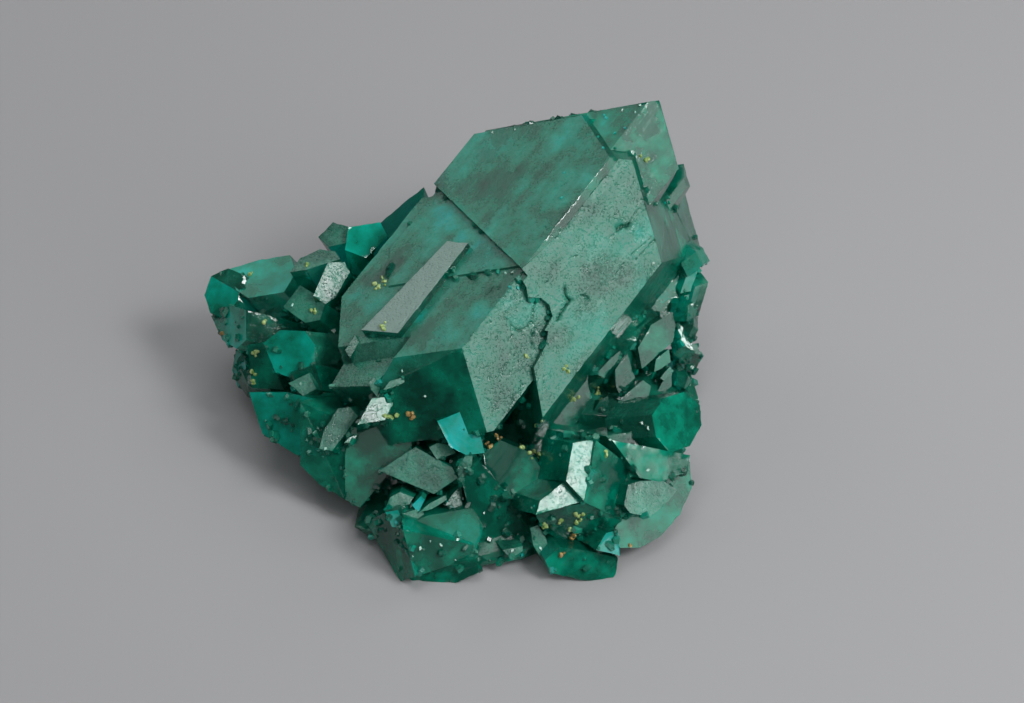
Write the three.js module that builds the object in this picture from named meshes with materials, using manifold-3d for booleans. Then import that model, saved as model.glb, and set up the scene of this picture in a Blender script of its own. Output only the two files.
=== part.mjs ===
// Dioptase specimen: emerald green crystals grown together on a small broken base.
// One solid. Millimetres, +Z up, origin under the middle of the specimen at the resting surface.
import * as THREE from "three";
import { ConvexGeometry } from "three/addons/geometries/ConvexGeometry.js";
import { mergeVertices } from "three/addons/utils/BufferGeometryUtils.js";
import Module from "manifold-3d";

const wasm = await Module();
wasm.setup();

// Driving dimensions of the main crystal, in mm.
const ridgeLength = 19.8;        // long edge between the two big faces, near corner to far corner
const topFaceWidth = 11.1;       // big top prism face, across
const frontFaceWidth = 6.7;      // big pale prism face, across
const nearFaceWidth = 4.7;       // the same face on the near growth, which is narrower
const thickness = 13;            // top prism face to the hidden underside
const growthStep = 0.4;          // height of one parallel growth layer
const stripRise = 0.5;           // raised strip on the top face

// Dioptase form: a six sided prism closed at each end by three rhombohedron faces.
const rhombTilt = 50.96;         // degrees between a rhombohedron face normal and the long axis
const rhombRise = Math.cos(THREE.MathUtils.degToRad(rhombTilt));
const rhombReach = Math.sin(THREE.MathUtils.degToRad(rhombTilt));

// Places are measured on the specimen as it is seen from the front, 42 degrees above level:
// u is mm to the right of the middle and v is mm up the view from the level of aimHeight.
const viewTilt = THREE.MathUtils.degToRad(42);
const eyeDistance = 170;
const eyeSide = 3.5;
const aimHeight = 8;
const eye = new THREE.Vector3(
  eyeSide, -eyeDistance * Math.cos(viewTilt), aimHeight + eyeDistance * Math.sin(viewTilt));

function sightLine([u, v]) {
  return new THREE.Vector3(u, v * Math.sin(viewTilt), aimHeight + v * Math.cos(viewTilt)).sub(eye);
}

// The point seen at (u, v) on a plane: a plane is { normal, offset } with normal . point = offset.
function seenOn(plane, place) {
  const line = sightLine(place);
  const reach = (plane.offset - plane.normal.dot(eye)) / plane.normal.dot(line);
  return eye.clone().addScaledVector(line, reach);
}

function seenAtHeight(z, place) {
  return seenOn({ normal: new THREE.Vector3(0, 0, 1), offset: z }, place);
}

function direction(azimuth, elevation) {
  const a = THREE.MathUtils.degToRad(azimuth);
  const e = THREE.MathUtils.degToRad(elevation);
  return new THREE.Vector3(Math.cos(e) * Math.cos(a), Math.cos(e) * Math.sin(a), Math.sin(e));
}

function solidOf(geometry) {
  const bare = geometry.clone();
  bare.deleteAttribute("normal");
  bare.deleteAttribute("uv");
  const merged = mergeVertices(bare, 1e-5);
  return new wasm.Manifold(new wasm.Mesh({
    numProp: 3,
    vertProperties: new Float32Array(merged.attributes.position.array),
    triVerts: new Uint32Array(merged.index.array),
  }));
}

function convexSolid(points) {
  return solidOf(new ConvexGeometry(points));
}

// The convex solid behind a set of planes: every corner where three planes meet inside the rest.
function solidBehind(planes) {
  const corners = [];
  const system = new THREE.Matrix3();
  for (let i = 0; i < planes.length; i += 1) {
    for (let j = i + 1; j < planes.length; j += 1) {
      for (let k = j + 1; k < planes.length; k += 1) {
        const [a, b, c] = [planes[i].normal, planes[j].normal, planes[k].normal];
        system.set(a.x, a.y, a.z, b.x, b.y, b.z, c.x, c.y, c.z);
        if (Math.abs(system.determinant()) < 1e-6) continue;
        const corner = new THREE.Vector3(planes[i].offset, planes[j].offset, planes[k].offset)
          .applyMatrix3(system.clone().invert());
        const inside = planes.every((p) => p.normal.dot(corner) < p.offset + 1e-6);
        const isNew = corners.every((other) => other.distanceTo(corner) > 1e-4);
        if (inside && isNew) corners.push(corner);
      }
    }
  }
  return convexSolid(corners);
}

// Crystal axes: x is the normal of prism face 0 and z runs along the crystal, near end positive.
function axesFrom(sideNormal, farDirection) {
  const z = farDirection.clone().negate().normalize();
  const x = sideNormal.clone().addScaledVector(z, -sideNormal.dot(z)).normalize();
  const y = new THREE.Vector3().crossVectors(z, x);
  return new THREE.Matrix4().makeBasis(x, y, z);
}

const faceNormals = {};
for (const azimuth of [0, 60, 120, 180, 240, 300]) {
  faceNormals[`side${azimuth}`] = direction(azimuth, 0);
}
for (const azimuth of [30, 150, 270]) {
  faceNormals[`near${azimuth}`] = direction(azimuth, 90 - rhombTilt);
}
for (const azimuth of [90, 210, 330]) {
  faceNormals[`far${azimuth}`] = direction(azimuth, rhombTilt - 90);
}

// A plane of the crystal form, offset mm out from a start point.
function formPlane(axes, start, face, offset) {
  const normal = faceNormals[face].clone().transformDirection(axes);
  return { normal, offset: normal.dot(start) + offset };
}

function dioptase(axes, start, offsets, extraPlanes = []) {
  const planes = Object.entries(offsets).map(([face, offset]) => formPlane(axes, start, face, offset));
  return solidBehind([...planes, ...extraPlanes]);
}

// A whole regular crystal about its centre: side to side width 2 * halfWidth, prism edge length.
function regularCrystal(axes, centre, halfWidth, prismLength) {
  const end = rhombRise * prismLength / 2 + rhombReach * Math.cos(Math.PI / 6) * halfWidth;
  const offsets = {};
  for (const face of Object.keys(faceNormals)) {
    offsets[face] = face.startsWith("side") ? halfWidth : end;
  }
  return dioptase(axes, centre, offsets);
}

// A crystal seen by one flat facet: its outline lies on a plane, and the body behind it
// widens by spread over its depth, toward the root direction.
function facetBlock({ outline, plane, depth, spread = 1.2, root }) {
  const front = outline.map((place) => seenOn(plane, place));
  const middle = front.reduce((sum, p) => sum.add(p), new THREE.Vector3()).divideScalar(front.length);
  const toCore = new THREE.Vector3(0, 1.5, 1.5).sub(middle).normalize();
  const inward = root ?? toCore.multiplyScalar(1.2).sub(plane.normal).normalize();
  const back = front.map((p) => p.clone().sub(middle).multiplyScalar(spread)
    .add(middle).addScaledVector(inward, depth));
  return convexSolid([...front, ...back]);
}

function tiltedPlane(outline, z, azimuth, elevation) {
  const u = outline.reduce((sum, place) => sum + place[0], 0) / outline.length;
  const v = outline.reduce((sum, place) => sum + place[1], 0) / outline.length;
  const normal = direction(azimuth, elevation);
  return { normal, offset: normal.dot(seenAtHeight(z, [u, v])) };
}

// The main crystal's own axes and its near top corner, where both big faces and the near end meet.
const longAxis = new THREE.Vector3(0.591, 0.714, 0.376).normalize();
const mainAxes = axesFrom(new THREE.Vector3(0.414, -0.668, 0.618), longAxis);
const nearCorner = seenAtHeight(11, [0.5, 0.21]);
const mainPlane = (face, offset) => formPlane(mainAxes, nearCorner, face, offset);

// How far out a face has to stand to pass through a point.
const reachOf = (face, point) => {
  const plane = mainPlane(face, 0);
  return plane.normal.dot(point) - plane.offset;
};

function planeThrough(a, b, c, inside) {
  const normal = new THREE.Vector3().crossVectors(b.clone().sub(a), c.clone().sub(a)).normalize();
  if (normal.dot(inside.clone().sub(a)) > 0) normal.negate();
  return { normal, offset: normal.dot(a) };
}

const parts = [];

// Offsets of its faces from that corner. A face's far edge is its width away, turned by 60 degrees.
const acrossTop = topFaceWidth * Math.cos(Math.PI / 6);
const acrossFront = frontFaceWidth * Math.cos(Math.PI / 6);
const acrossNear = nearFaceWidth * Math.cos(Math.PI / 6);
const farEnd = ridgeLength * rhombRise;

// Near growth: pale triangular step and smooth dark near end, then the wider sheet to its left.
parts.push(dioptase(mainAxes, nearCorner, {
  side0: 0, side60: 0, side120: 3.3, side180: 5.5, side240: 5, side300: acrossNear,
  near30: 0, near150: 9.7, near270: 5.15, far90: 12, far210: 9, far330: 9.5,
}));
parts.push(dioptase(mainAxes, nearCorner, {
  side0: -1.5, side60: 0, side120: acrossTop, side180: 9, side240: 4.2, side300: 2,
  near30: -1.05, near150: 8.2, near270: 2, far90: 12, far210: 9, far330: 9.5,
}));

// Inner growth that forms the clear far end.
parts.push(dioptase(mainAxes, nearCorner, {
  side0: -0.3, side60: 0.1, side120: acrossTop - 0.3, side180: 8.3, side240: 7, side300: 3.2,
  near30: -4, near150: 5, near270: 3, far90: farEnd, far210: 13, far330: farEnd,
}));

// Outer growth with the large pale face, broken back at both ends.
const topStart = seenOn(mainPlane("side60", growthStep), [3.68, 5.37]);
const topStop = seenOn(mainPlane("side60", growthStep), [-1.42, 10.29]);
const topBreak = planeThrough(topStart, topStop,
  topStart.clone().add(mainPlane("side60", 0).normal), seenOn(mainPlane("side60", 0), [5.18, 11.49]));
const chipStart = seenOn(mainPlane("side60", growthStep), [7.88, 13.89]);
const chipMiddle = seenOn(mainPlane("side60", growthStep), [8.96, 12.27]);
const chipStop = seenOn(mainPlane("side0", growthStep), [11.18, 11.43]);
const farBreak = planeThrough(chipStart, chipMiddle, chipStop, nearCorner);
const rightEdge = seenOn(mainPlane("far330", farEnd - 1.9), [14.24, 8.25]);
parts.push(dioptase(mainAxes, nearCorner, {
  side0: growthStep, side60: growthStep, side120: acrossTop - 0.2, side180: 8.4,
  side240: thickness, side300: acrossFront, near30: -3.3, near150: 6, near270: 4.6,
  far90: farEnd - 0.1, far210: reachOf("far210", rightEdge), far330: farEnd - 1.9,
}, [topBreak, farBreak]));

// The same outer growth goes on under the top face as a slab that carries the rest of the pale face.
// Its near end is broken off along a jagged line.
const slabTop = seenOn(mainPlane("side0", growthStep), [3.62, 5.61]);
const slabFoot = seenOn(mainPlane("side0", growthStep), [5.24, -3.39]);
const slabBreak = planeThrough(slabTop, slabFoot,
  slabTop.clone().add(mainPlane("side0", 0).normal), seenOn(mainPlane("side0", 0), [9.98, 5.49]));
let slab = dioptase(mainAxes, nearCorner, {
  side0: growthStep, side60: -0.05, side120: 2, side180: 4, side240: thickness - 4,
  side300: acrossFront, near30: 0, near150: 6, near270: 6.5,
  far90: farEnd - 0.1, far210: 15, far330: farEnd - 1.9,
}, [slabBreak, farBreak]);
const chips = [
  [[3.08, 6.09], [3.68, 5.37], [4.04, 4.41], [4.58, 3.87], [4.7, 3.09], [3.5, 1.89]],
  [[3.98, 3.33], [5.48, 3.21], [5.96, 2.79], [6.14, 2.13], [5.66, 1.23], [3.98, 1.29]],
  [[3.98, 1.59], [5.9, 1.23], [5.72, 0.33], [5.18, -0.39], [4.88, -1.23], [3.98, -1.71]],
  [[3.98, -0.87], [4.82, -1.11], [5.12, -1.95], [5.24, -2.79], [5.18, -4.11], [3.68, -3.51]],
];
for (const outline of chips) {
  const above = mainPlane("side0", growthStep + 0.5);
  slab = slab.subtract(facetBlock({ outline, plane: above, depth: 2.2, spread: 1,
    root: mainPlane("side180", 0).normal }));
}
parts.push(slab);

// Second end layer on the right, and two more parallel growths behind and below it.
const secondTop = seenOn(mainPlane("far330", farEnd - 0.7), [13.76, 12.93]);
const secondRight = seenOn(mainPlane("far330", farEnd - 0.7), [14.36, 9.33]);
parts.push(dioptase(mainAxes, nearCorner, {
  side0: -3.4, side60: reachOf("side60", secondTop), side120: 8, side180: 9.5,
  side240: 12, side300: 3.6, near30: -5, near150: 4, near270: 3, far90: 12,
  far210: reachOf("far210", secondRight), far330: farEnd - 0.7,
}));
parts.push(dioptase(mainAxes, nearCorner, {
  side0: -5.6, side60: -6, side120: 4, side180: 8, side240: 13, side300: 9.2,
  near30: -7, near150: 0, near270: 5, far90: 4, far210: 18, far330: farEnd - 2.2,
}));

// Raised strip on the top face, and the lower stepped plates by the near end.
const topPlate = [[-5.56, 1.29], [-3.34, 1.11], [0.86, 6.51], [-0.4, 6.63]];
parts.push(facetBlock({ outline: topPlate, plane: mainPlane("side60", stripRise), depth: 1, spread: 1,
  root: mainPlane("side240", 0).normal }));
const nearPlate = [
  [-7.42, -2.13], [-6.46, -0.51], [-5.74, 0.63], [-3.46, 0.51], [-3.58, -0.81], [-4.9, -2.07],
];
parts.push(facetBlock({ outline: nearPlate, plane: mainPlane("side60", -0.8), depth: 3, spread: 1.05,
  root: mainPlane("side240", 0).normal }));

// Parallel steps under the right side of the large face, each with a facet like the large one.
const parallelSteps = [
  { drop: -3.4, outline: [[11.06, 0.21], [11.84, 1.59], [13.16, 2.37], [13.34, 1.53],
      [13.16, 0.57], [12.38, -0.03], [11.3, -1.05]] },
  { drop: -3.9, outline: [[12.02, -1.23], [12.14, -0.45], [12.92, 0.15], [13.04, -0.63],
      [12.26, -1.17]] },
  { drop: -4.4, outline: [[12.38, -1.59], [12.98, -0.87], [13.22, -1.17], [12.62, -1.77]] },
  { drop: -3.6, outline: [[9.68, -1.11], [10.4, -0.03], [10.7, -0.99], [10.88, -1.59],
      [9.92, -2.49], [9.74, -2.07]] },
  { drop: -4.3, outline: [[9.86, -2.97], [11.36, -1.71], [11.84, -2.07], [11.66, -2.91],
      [10.22, -3.87]] },
  { drop: -4.6, outline: [[12.02, -2.79], [12.56, -1.77], [13.1, -1.29], [13.1, -2.07],
      [12.26, -2.79]] },
  { drop: -3.4, outline: [[5.72, -4.41], [6.74, -3.15], [8.06, -1.59], [8.24, -2.79],
      [7.46, -4.11], [6.08, -5.91]] },
  { drop: -4.1, outline: [[8.42, -3.51], [8.78, -2.91], [9.26, -2.67], [9.32, -3.39],
      [8.84, -3.81]] },
  { drop: -3.2, outline: [[8.54, -1.35], [9.5, -0.33], [10.04, 0.09], [9.86, -0.51],
      [9.02, -1.59]] },
  { drop: -4.9, outline: [[9.02, -4.35], [9.56, -3.51], [9.92, -3.15], [9.86, -3.75],
      [9.44, -4.71]] },
  { drop: -4.9, outline: [[10.82, -4.59], [11.9, -3.63], [12.5, -3.15], [12.38, -3.63],
      [11.54, -4.35]] },
];
for (const { drop, outline } of parallelSteps) {
  parts.push(facetBlock({ outline, plane: mainPlane("side0", drop), depth: 4, spread: 1.1,
    root: mainPlane("side180", 0).normal }));
}

// Smaller crystals of the front and the left, each measured by the facet it shows.
const facetCrystals = [
  { what: "round green lump", z: 7, az: 250, el: 35, depth: 3, spread: 1.2,
    outline: [[-11.44, 0.51], [-10.42, 1.29], [-8.92, 1.23], [-8.32, 0.39], [-8.32, -1.23],
        [-9.46, -1.71], [-10.72, -1.23]] },
  { what: "pale rhomb", z: 6, az: -75, el: 50, depth: 2.5, spread: 1.5,
    outline: [[-9.94, -1.89], [-8.68, -1.29], [-8.26, -2.25], [-9.04, -2.67]] },
  { what: "olive face", z: 5, az: 245, el: 42, depth: 3, spread: 1.2,
    outline: [[-12.4, 0.39], [-11.5, 0.57], [-10.66, -1.23], [-10.18, -2.31], [-12.1, -2.19]] },
  { what: "violet grey prism", z: 9, az: -55, el: 45, depth: 2.5, spread: 1.1,
    outline: [[-8.44, 3.33], [-7.54, 5.37], [-6.52, 5.37], [-6.22, 4.77], [-7.12, 3.21],
        [-7.72, 2.85]] },
  { what: "grey green wedge", z: 8, az: 240, el: 52, depth: 2.5, spread: 1.1,
    outline: [[-10.24, 2.67], [-9.22, 3.99], [-8.44, 3.51], [-7.72, 2.85], [-8.02, 1.89],
        [-8.92, 1.71], [-9.52, 2.19]] },
  { what: "frosty crest", z: 9.5, az: -110, el: 75, depth: 3, spread: 1.1,
    outline: [[-9.82, 4.77], [-9.22, 5.61], [-8.02, 6.15], [-7.12, 6.03], [-6.82, 5.55],
        [-8.02, 5.37], [-8.92, 4.89]] },
  { what: "pale back crystal", z: 9.5, az: -120, el: 60, depth: 5, spread: 1.1,
    outline: [[-8.14, 6.87], [-7.24, 7.77], [-6.22, 7.47], [-6.46, 6.51], [-7.54, 6.27]] },
  { what: "dark back crystal", z: 9.5, az: -60, el: 55, depth: 5, spread: 1.1,
    outline: [[-6.34, 7.47], [-4.42, 7.77], [-3.94, 6.93], [-5.26, 5.61], [-6.52, 6.09]] },
  { what: "back rim", z: 8.6, az: -120, el: 60, depth: 5, spread: 1.1,
    outline: [[-4.66, 7.53], [-3.7, 8.25], [-2.74, 9.15], [-1.78, 9.87], [-1.78, 8.19],
        [-3.46, 6.45], [-4.42, 6.69]] },
  { what: "left rim crystal", z: 6, az: 215, el: 50, depth: 4, spread: 1.1,
    outline: [[-14.98, 3.39], [-14.56, 4.53], [-13.54, 5.01], [-12.7, 4.65], [-12.94, 3.09],
        [-13.9, 2.01], [-14.62, 2.31]] },
  { what: "left shoulder", z: 7, az: 210, el: 75, depth: 4, spread: 1.1,
    outline: [[-13.54, 4.95], [-11.5, 5.55], [-9.82, 5.79], [-9.46, 4.77], [-10.18, 3.57],
        [-12.34, 3.21], [-13.06, 3.69]] },
  { what: "left foot", z: 5.5, az: 205, el: 25, depth: 4, spread: 1.0,
    outline: [[-14.56, 2.13], [-13.3, 2.79], [-12.46, 2.49], [-12.46, 0.69], [-13.06, 0.15],
        [-13.9, 0.69]] },
  { what: "blue green blade", z: 3, az: 215, el: 15, depth: 3, spread: 0.9,
    outline: [[-13.3, -1.11], [-13.06, 0.09], [-12.64, -0.03], [-12.46, -0.99], [-12.94, -2.19]] },
  { what: "small end facet", z: 8.8, az: -60, el: 38, depth: 1.5, spread: 1.3,
    outline: [[-6.52, 0.09], [-5.92, 0.99], [-5.68, 0.57], [-6.22, -0.39]] },
  { what: "small facet under the plate", z: 7.8, az: -60, el: 38, depth: 1.5, spread: 1.4,
    outline: [[-5.08, -1.83], [-4.78, -1.53], [-4.42, -2.19], [-4.6, -2.73], [-4.96, -2.31]] },
  { what: "small facet by the near end", z: 8.4, az: -60, el: 40, depth: 1.5, spread: 1.4,
    outline: [[-4.24, -2.31], [-3.82, -1.77], [-2.98, -1.53], [-2.92, -1.83], [-3.52, -2.13]] },
  { what: "white rhomb", z: 6.9, az: -60, el: 48, depth: 3, spread: 1.5,
    outline: [[-5.8, -4.41], [-4.9, -2.79], [-3.4, -2.67], [-4.12, -4.11]] },
  { what: "leaning prism", z: 5.5, az: -70, el: 52, depth: 1.6, spread: 1.15,
    outline: [[-8.08, -5.85], [-7.78, -4.71], [-6.94, -3.39], [-6.22, -3.33], [-5.74, -3.87],
        [-6.52, -4.95], [-7.3, -5.97]] },
  { what: "white chip", z: 4.6, az: -60, el: 45, depth: 1, spread: 1.3,
    outline: [[-8.5, -4.89], [-8.26, -4.71], [-7.96, -5.25], [-8.14, -5.55]] },
  { what: "second white chip", z: 5.1, az: -60, el: 45, depth: 1, spread: 1.3,
    outline: [[-6.58, -5.49], [-6.22, -5.13], [-5.8, -5.01], [-6.04, -5.43]] },
  { what: "left flank", z: 4, az: 235, el: 32, depth: 5, spread: 1.0,
    outline: [[-12.28, -2.43], [-10.06, -2.43], [-8.5, -2.79], [-8.62, -6.33], [-9.46, -6.21],
        [-11.5, -4.95]] },
  { what: "left flank, lower", z: 3.5, az: 252, el: 30, depth: 5, spread: 1.0,
    outline: [[-9.22, -3.03], [-6.1, -4.35], [-6.52, -8.91], [-8.02, -8.01], [-9.22, -6.81]] },
  { what: "front left flank", z: 3.7, az: 262, el: 38, depth: 5, spread: 1.05,
    outline: [[-6.52, -4.59], [-2.74, -4.35], [-2.5, -5.67], [-4.42, -7.11], [-5.62, -9.39],
        [-6.52, -8.91]] },
  { what: "front rhomb", z: 4.6, az: -95, el: 62, depth: 3.5, spread: 1.25,
    outline: [[-4.48, -7.17], [-2.32, -5.73], [-1.36, -6.33], [-0.1, -6.93], [0.26, -7.59],
        [-1.18, -8.55]] },
  { what: "pale pebble", z: 5.3, az: -70, el: 45, depth: 2, spread: 1.3,
    outline: [[-1.48, -5.73], [-0.94, -5.49], [-0.22, -5.61], [0.14, -6.09], [-1, -6.51]] },
  { what: "pale wedge", z: 5.2, az: -75, el: 40, depth: 2.5, spread: 1.3,
    outline: [[0.14, -7.11], [0.68, -6.27], [1.16, -6.27], [1.04, -7.71], [0.38, -7.71]] },
  { what: "turquoise crystal", z: 6.5, az: -80, el: 40, depth: 3, spread: 1.2,
    outline: [[-1, -4.17], [0.5, -3.57], [1.46, -4.41], [1.88, -6.09], [0.74, -6.21],
        [-0.22, -5.73]] },
  { what: "grey chip", z: 3.7, az: -70, el: 50, depth: 2.5, spread: 1.3,
    outline: [[-4.18, -9.57], [-3.82, -8.73], [-3.22, -8.43], [-2.38, -8.73], [-2.62, -9.15],
        [-3.7, -9.45]] },
  { what: "turquoise chip", z: 3.4, az: -90, el: 35, depth: 2, spread: 1.2,
    outline: [[-4.12, -9.63], [-3.34, -9.51], [-3.1, -9.99], [-3.22, -10.59], [-3.7, -10.53]] },
  { what: "small turquoise chip", z: 3.7, az: -90, el: 35, depth: 2, spread: 1.2,
    outline: [[-2.5, -9.21], [-1.96, -8.67], [-1.72, -8.91], [-2.14, -9.69]] },
  { what: "second grey chip", z: 3.2, az: -70, el: 50, depth: 2, spread: 1.3,
    outline: [[-3.1, -9.75], [-2.02, -9.39], [-1.72, -9.81], [-2.62, -10.47]] },
  { what: "long pale chip", z: 3.6, az: -70, el: 50, depth: 2, spread: 1.3,
    outline: [[-2.14, -9.69], [-1.42, -9.09], [-0.46, -8.61], [-0.4, -8.91], [-1.3, -9.45]] },
  { what: "pale green chip", z: 3.6, az: -60, el: 45, depth: 2, spread: 1.3,
    outline: [[-0.52, -9.21], [-0.1, -8.61], [0.44, -8.01], [0.56, -9.27], [0.02, -9.45]] },
  { what: "front crystal, top", z: 2.6, az: -85, el: 40, depth: 4, spread: 1.0,
    outline: [[-3.1, -10.71], [-1.72, -9.87], [0.98, -9.39], [1.82, -10.59], [1.22, -12.39],
        [-0.82, -11.61]] },
  { what: "front crystal, right face", z: 2.1, az: -75, el: 20, depth: 4, spread: 1.0,
    outline: [[-3.04, -10.71], [-0.82, -11.31], [1.22, -11.61], [1.1, -12.39], [-2.32, -13.53]] },
  { what: "front crystal, left face", z: 1.5, az: 215, el: 15, depth: 4, spread: 1.0,
    outline: [[-5.26, -10.23], [-4.06, -9.63], [-3.04, -10.71], [-2.32, -13.53], [-3.22, -13.83],
        [-3.94, -12.51]] },
  { what: "front slab", z: 0.5, az: -95, el: 25, depth: 3, spread: 1.0,
    outline: [[-3.22, -13.11], [-0.82, -12.81], [1.46, -12.39], [1.46, -13.29], [0.5, -13.65],
        [-0.22, -14.07], [-2.02, -14.19]] },
  { what: "rough dark crystal", z: 4.6, az: -80, el: 50, depth: 4, spread: 1.1,
    outline: [[1.76, -6.03], [2.78, -5.31], [4.58, -6.03], [5.3, -7.11], [4.4, -9.03],
        [2.78, -8.73], [1.94, -7.23]] },
  { what: "dark front wedge", z: 2.8, az: -75, el: 30, depth: 4, spread: 1.0,
    outline: [[0.5, -7.83], [1.46, -6.51], [2.78, -8.73], [4.7, -10.11], [4.1, -12.51],
        [1.58, -12.27]] },
  { what: "white curved facet, upper", z: 6.3, az: -58, el: 50, depth: 3.5, spread: 1.1,
    outline: [[7.16, -5.49], [8.54, -5.25], [8.3, -6.81], [7.82, -8.97], [6.74, -7.77],
        [7.1, -6.63]] },
  { what: "white curved facet, lower", z: 5.1, az: -58, el: 50, depth: 3.5, spread: 1.1,
    outline: [[4.94, -9.81], [5.18, -8.97], [5.9, -8.61], [6.74, -7.71], [7.82, -8.97],
        [6.38, -9.39]] },
  { what: "right front crystal, right face", z: 4.8, az: -35, el: 28, depth: 4, spread: 1.0,
    outline: [[8.54, -5.31], [9.5, -6.03], [10.82, -7.11], [10.58, -8.91], [10.1, -10.17],
        [7.82, -9.03], [8.3, -6.81]] },
  { what: "right front crystal, lower face", z: 3, az: -85, el: 5, depth: 4, spread: 1.0,
    outline: [[4.94, -9.87], [6.38, -9.39], [7.82, -9.09], [10.1, -10.17], [8.9, -11.07],
        [6.38, -11.31], [5.48, -10.83]] },
  { what: "small front facet", z: 2, az: -70, el: 35, depth: 2, spread: 1.2,
    outline: [[4.58, -10.59], [5.06, -10.41], [5.54, -11.19], [5.66, -11.61], [5.18, -12.33],
        [4.76, -11.61]] },
  { what: "small v facet", z: 1.6, az: -70, el: 40, depth: 1.5, spread: 1.2,
    outline: [[2.96, -11.91], [3.32, -12.09], [4.16, -11.67], [4.16, -11.97], [3.38, -12.45]] },
  { what: "speckled facet", z: 3.6, az: -50, el: 48, depth: 3.5, spread: 1.12,
    outline: [[10.46, -8.01], [11.18, -7.77], [12.5, -7.71], [13.46, -8.31], [12.68, -9.21],
        [11.78, -9.93], [10.58, -9.69], [10.22, -9.21]] },
  { what: "right rim crystal", z: 2, az: -55, el: 40, depth: 4, spread: 1.0,
    outline: [[11.18, -7.83], [14.18, -6.63], [14.3, -8.19], [13.58, -9.81], [12.38, -11.13],
        [11.18, -11.79], [9.98, -11.79], [9.5, -10.95]] },
  { what: "right grey face", z: 4.6, az: -50, el: 50, depth: 4, spread: 1.0,
    outline: [[9.5, -5.31], [11.18, -5.67], [14.18, -6.21], [14.06, -7.23], [12.38, -7.83],
        [11.18, -7.59]] },
  { what: "right round crystal", z: 5.2, az: -35, el: 42, depth: 3.5, spread: 0.95,
    outline: [[11.9, -3.81], [12.62, -2.79], [13.88, -2.37], [14.78, -3.21], [14.9, -4.41],
        [14.18, -5.67], [12.98, -6.09], [12.14, -5.13]] },
  { what: "front right slab", z: 0.9, az: -80, el: 25, depth: 4, spread: 1.0,
    outline: [[5.48, -12.51], [6.38, -11.73], [8.18, -11.97], [9.86, -12.39], [9.74, -13.41],
        [9.26, -13.95], [7.58, -13.71], [5.78, -13.29]] },
  { what: "small teal crystal", z: 2.2, az: -60, el: 35, depth: 3, spread: 1.1,
    outline: [[8.54, -11.91], [9.14, -10.89], [9.86, -10.71], [9.98, -12.27]] },
  { what: "right hollow face", z: 4.4, az: -70, el: 40, depth: 3, spread: 0.9,
    outline: [[9.14, -5.07], [11.18, -4.71], [12.14, -4.71], [11.9, -5.67], [10.82, -6.87]] },
];
for (const { z, az, el, depth, spread, outline } of facetCrystals) {
  const plane = tiltedPlane(outline, z, az, el);
  parts.push(facetBlock({ outline, plane, depth, spread }));
}

// Broken base that carries the crystals: rough lumps, wider at mid height than at the foot.
const lumps = [
  { x: 0, y: 1.5, z: 1.5, rx: 11, ry: 7.5, rz: 2.8 },
  { x: -7, y: 5, z: 2.5, rx: 7, ry: 5, rz: 3 },
  { x: 5, y: 7, z: 4, rx: 8, ry: 6, rz: 5.5 },
  { x: 8, y: 1, z: 1, rx: 6.6, ry: 7.4, rz: 2 },
  { x: 1, y: -6, z: 0.6, rx: 7.5, ry: 4.6, rz: 1.6 },
];
let seed = 20;
function random() {
  seed = (seed * 1664525 + 1013904223) % 4294967296;
  return seed / 4294967296;
}
for (const { x, y, z, rx, ry, rz } of lumps) {
  const points = [];
  for (let i = 0; i < 42; i += 1) {
    const p = direction(360 * random(), THREE.MathUtils.radToDeg(Math.asin(2 * random() - 1)));
    points.push(new THREE.Vector3(x + rx * p.x, y + ry * p.y, z + rz * p.z));
  }
  parts.push(convexSolid(points));
}

// Smaller crystals crowd the sides and the back, where the specimen grew against its rock.
const crowd = 46;
const golden = 137.5;
for (let i = 0; i < crowd; i += 1) {
  const azimuth = 14 + 190 * ((i * golden / 360) % 1);
  const rise = 8 + 50 * random();
  const out = direction(azimuth, rise * 0.6);
  const height = 1.6 + 6 * out.z * (1 + 0.3 * random());
  const centre = new THREE.Vector3(1 + 10.2 * out.x, 3 + 7.6 * out.y, height);
  const longWay = direction(azimuth + 70 * (random() - 0.5), rise * 0.9 - 5);
  const axes = axesFrom(direction(azimuth + 360 * random(), 80), longWay.negate());
  parts.push(regularCrystal(axes, centre, 0.9 + 1 * random() ** 2, 1 + 2 * random()));
}

// Small crystals on the right edge, beside the parallel steps.
const rightRim = [
  [14.18, 5.61], [13.88, 4.41], [14.36, 3.45], [13.58, 2.37], [14.12, 1.59],
  [13.64, 0.69], [13.94, -0.27], [13.52, -1.35], [13.82, -2.19],
];
for (const place of rightRim) {
  const centre = seenOn(mainPlane("side0", -5 - 1.2 * random()), place);
  const longWay = direction(-150 + 120 * random(), -50 + 80 * random());
  const axes = axesFrom(direction(360 * random(), 80), longWay);
  parts.push(regularCrystal(axes, centre, 0.45 + 0.5 * random(), 0.8 + 1.4 * random()));
}

let cluster = parts[0];
for (const part of parts.slice(1)) cluster = cluster.add(part);

// The foot is broken flat.
const below = new THREE.BoxGeometry(80, 80, 20).translate(0, 0, -10);
cluster = cluster.subtract(solidOf(below));

const mesh = cluster.getMesh();
const geometry = new THREE.BufferGeometry();
geometry.setAttribute("position", new THREE.BufferAttribute(mesh.vertProperties, 3));
geometry.setIndex(new THREE.BufferAttribute(mesh.triVerts, 1));

geometry.computeBoundingBox();
const middle = geometry.boundingBox.getCenter(new THREE.Vector3());

const crystalGreen = new THREE.MeshStandardMaterial({ color: 0x0b6f5a, roughness: 0.25, metalness: 0 });
const specimen = new THREE.Mesh(geometry, crystalGreen);
specimen.name = "dioptase_cluster";
specimen.position.set(-middle.x, -middle.y, 0);

const model = new THREE.Group();
model.add(specimen);
export default model;
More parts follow.
